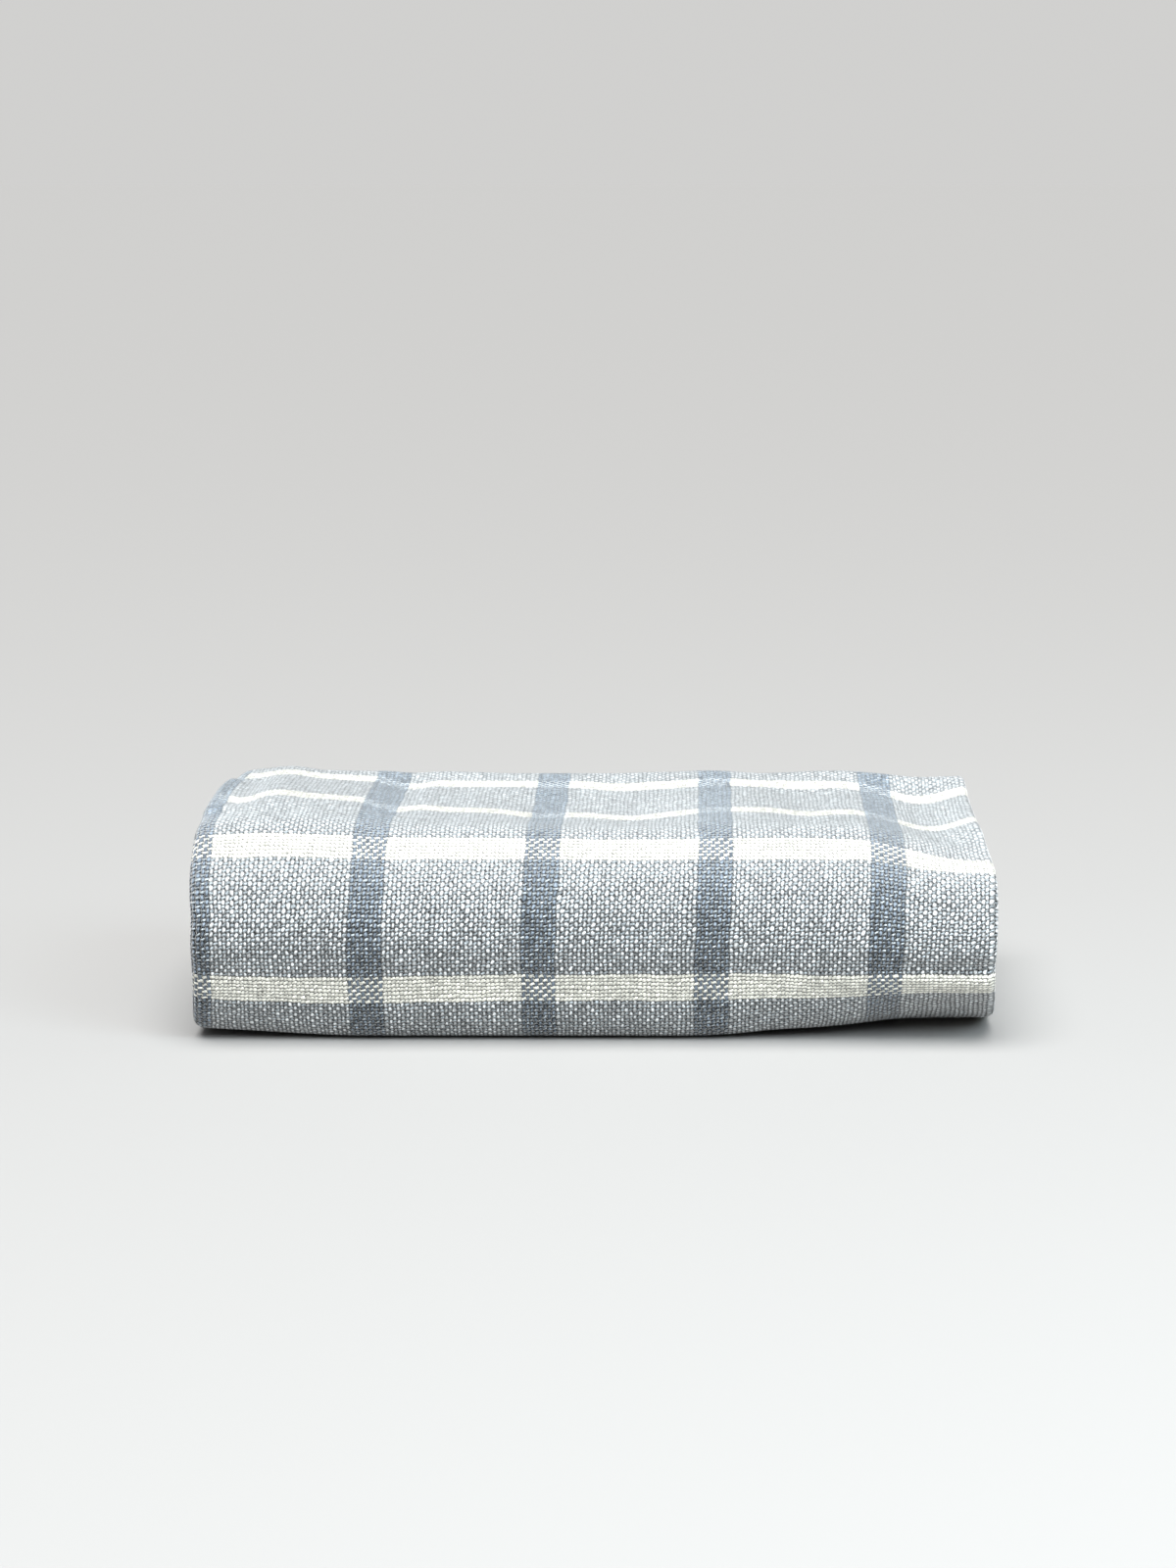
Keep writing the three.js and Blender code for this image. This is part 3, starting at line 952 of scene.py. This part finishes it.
def make_towel():
    """The folded cloth as one closed mesh, with its two maps and its material."""
    points, ring_u, v, columns, arc_u, turn_v = folded_sheet()
    mesh = closed_mesh("tea_towel", to_part_frame(points))
    add_weave_map(mesh, ring_u, v, arc_u, turn_v)
    add_bake_map(mesh, len(ring_u), v, columns, turn_v)
    mesh.polygons.foreach_set("use_smooth", np.ones(len(mesh.polygons), bool))
    stitch_v = np.array([v.min() + STITCH_FROM_END, v.max() - STITCH_FROM_END])
    mesh.materials.append(woven_cloth(weft_counts(stitch_v - turn_v)))
    towel = bpy.data.objects.new("tea_towel", mesh)
    bpy.context.scene.collection.objects.link(towel)
    return towel


towel = make_towel()
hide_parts("towel")
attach(towel, "root")

# The floor: a wide pale disc, with its rings' radii
FLOOR_RINGS = (0.0001, 0.2, 0.5, 1.0, 2.0, 30.0)
FLOOR_SIDES = 96
FLOOR_PALE = (0.41, 0.408, 0.402, 1)
FLOOR_ROUGHNESS = 0.9
FLOOR_SPECULAR = 0.1


def pale_floor():
    """One even, matt colour all over."""
    material = bpy.data.materials.new("pale_floor")
    material.use_nodes = True
    Sums(material.node_tree).matt_surface(FLOOR_PALE, FLOOR_ROUGHNESS, FLOOR_SPECULAR)
    return material


def make_floor():
    """A flat disc at z = 0, centred under the towel: each ring's points are its radius times the
    cosine and sine of even angles."""
    radii = np.array(FLOOR_RINGS)
    angle = np.linspace(0, 2 * math.pi, FLOOR_SIDES + 1)[:-1]
    across, away = np.outer(radii, np.cos(angle)), np.outer(radii, np.sin(angle))
    points = np.stack([across, away, across * 0], axis=2)
    number = np.arange(len(radii) * FLOOR_SIDES).reshape(len(radii), FLOOR_SIDES)
    onward = np.roll(number, -1, axis=1)
    faces = np.stack([number[:-1], number[1:], onward[1:], onward[:-1]], axis=2).reshape(-1, 4)
    mesh = bpy.data.meshes.new("floor")
    mesh.from_pydata(points.reshape(-1, 3), [], faces.tolist())
    mesh.materials.append(pale_floor())
    floor = bpy.data.objects.new("floor", mesh)
    bpy.context.scene.collection.objects.link(floor)
    return floor


make_floor()

# Background: as bright to the eye as the floor's far edge, dimmer as a light
BACKGROUND_SEEN = 0.637
BACKGROUND_LIGHT = 0.26
BACKGROUND_COLOUR = (1, 0.995, 0.98, 1)


def make_world():
    """A plain background whose strength differs for the camera and for the light it gives."""
    world = bpy.data.worlds.new("studio")
    world.use_nodes = True
    sums = Sums(world.node_tree)
    path = sums.nodes.new("ShaderNodeLightPath")
    background = sums.nodes.new("ShaderNodeBackground")
    background.inputs["Color"].default_value = BACKGROUND_COLOUR
    strength = sums.between(path.outputs["Is Camera Ray"], BACKGROUND_LIGHT, BACKGROUND_SEEN)
    sums.put(background.inputs["Strength"], strength)
    out = sums.nodes.new("ShaderNodeOutputWorld")
    sums.links.new(background.outputs[0], out.inputs["Surface"])
    bpy.context.scene.world = world


def aim(thing, place, target):
    """Puts a light at a place and points its -Z axis at the target, +Y axis upwards."""
    thing.location = place
    thing.rotation_euler = (Vector(target) - Vector(place)).to_track_quat("-Z", "Y").to_euler()


def soft_light(name, place, target, side, watts, colour):
    """A square panel of light, aimed from its place at the target."""
    light = bpy.data.lights.new(name, "AREA")
    light.color = colour
    light.shape = "SQUARE"
    light.size = side
    light.energy = watts
    lamp = bpy.data.objects.new(name, light)
    bpy.context.scene.collection.objects.link(lamp)
    aim(lamp, place, target)


def high_light(name, away, angle, strength):
    """An even light from far off in a direction, as wide as its angle in degrees."""
    light = bpy.data.lights.new(name, "SUN")
    light.angle = math.radians(angle)
    light.energy = strength
    lamp = bpy.data.objects.new(name, light)
    bpy.context.scene.collection.objects.link(lamp)
    aim(lamp, away, (0, 0, 0))


# A broad light from above and a little in front, a panel in front, and a cooler one to the right
WHITE_LIGHT = (1.0, 1.0, 1.0)
COOL_LIGHT = (0.78, 0.92, 1.0)

make_world()
high_light("top_light", away=(-0.08, -0.38, 1.0), angle=50, strength=4.45)
soft_light("front_light", place=(0.1, -0.95, 0.8), target=(0, 0, 0.02), side=0.7, watts=5.45,
           colour=WHITE_LIGHT)
soft_light("side_light", place=(0.5, -0.6, 0.52), target=(0.06, 0, 0.02), side=0.4, watts=3.8,
           colour=COOL_LIGHT)

# The camera stands in front, a little above. Its picture is 1200 by 1600 pixels, its turns are in
# degrees, down from level and left of straight ahead, and its sensor is in millimetres
CAMERA_PLACE = (-0.0017, -0.8832, 0.1829)
CAMERA_DOWN = 8.62
CAMERA_LEFT = 0.05
CAMERA_SEES_FROM = 0.01
FOCAL_PIXELS = 4202.4
PICTURE_HEIGHT = 1600
SENSOR = 36.0


def make_camera():
    """A camera whose focal length, over its sensor's height, is FOCAL_PIXELS over the picture's."""
    camera = bpy.data.cameras.new("camera")
    camera.sensor_fit = "VERTICAL"
    camera.sensor_height = SENSOR
    camera.lens = FOCAL_PIXELS * SENSOR / PICTURE_HEIGHT
    camera.clip_start = CAMERA_SEES_FROM
    thing = bpy.data.objects.new("camera", camera)
    thing.location = CAMERA_PLACE
    thing.rotation_euler = (math.radians(90 - CAMERA_DOWN), 0, math.radians(CAMERA_LEFT))
    bpy.context.scene.collection.objects.link(thing)
    bpy.context.scene.camera = thing


make_camera()
bpy.context.scene.view_settings.view_transform = "Standard"
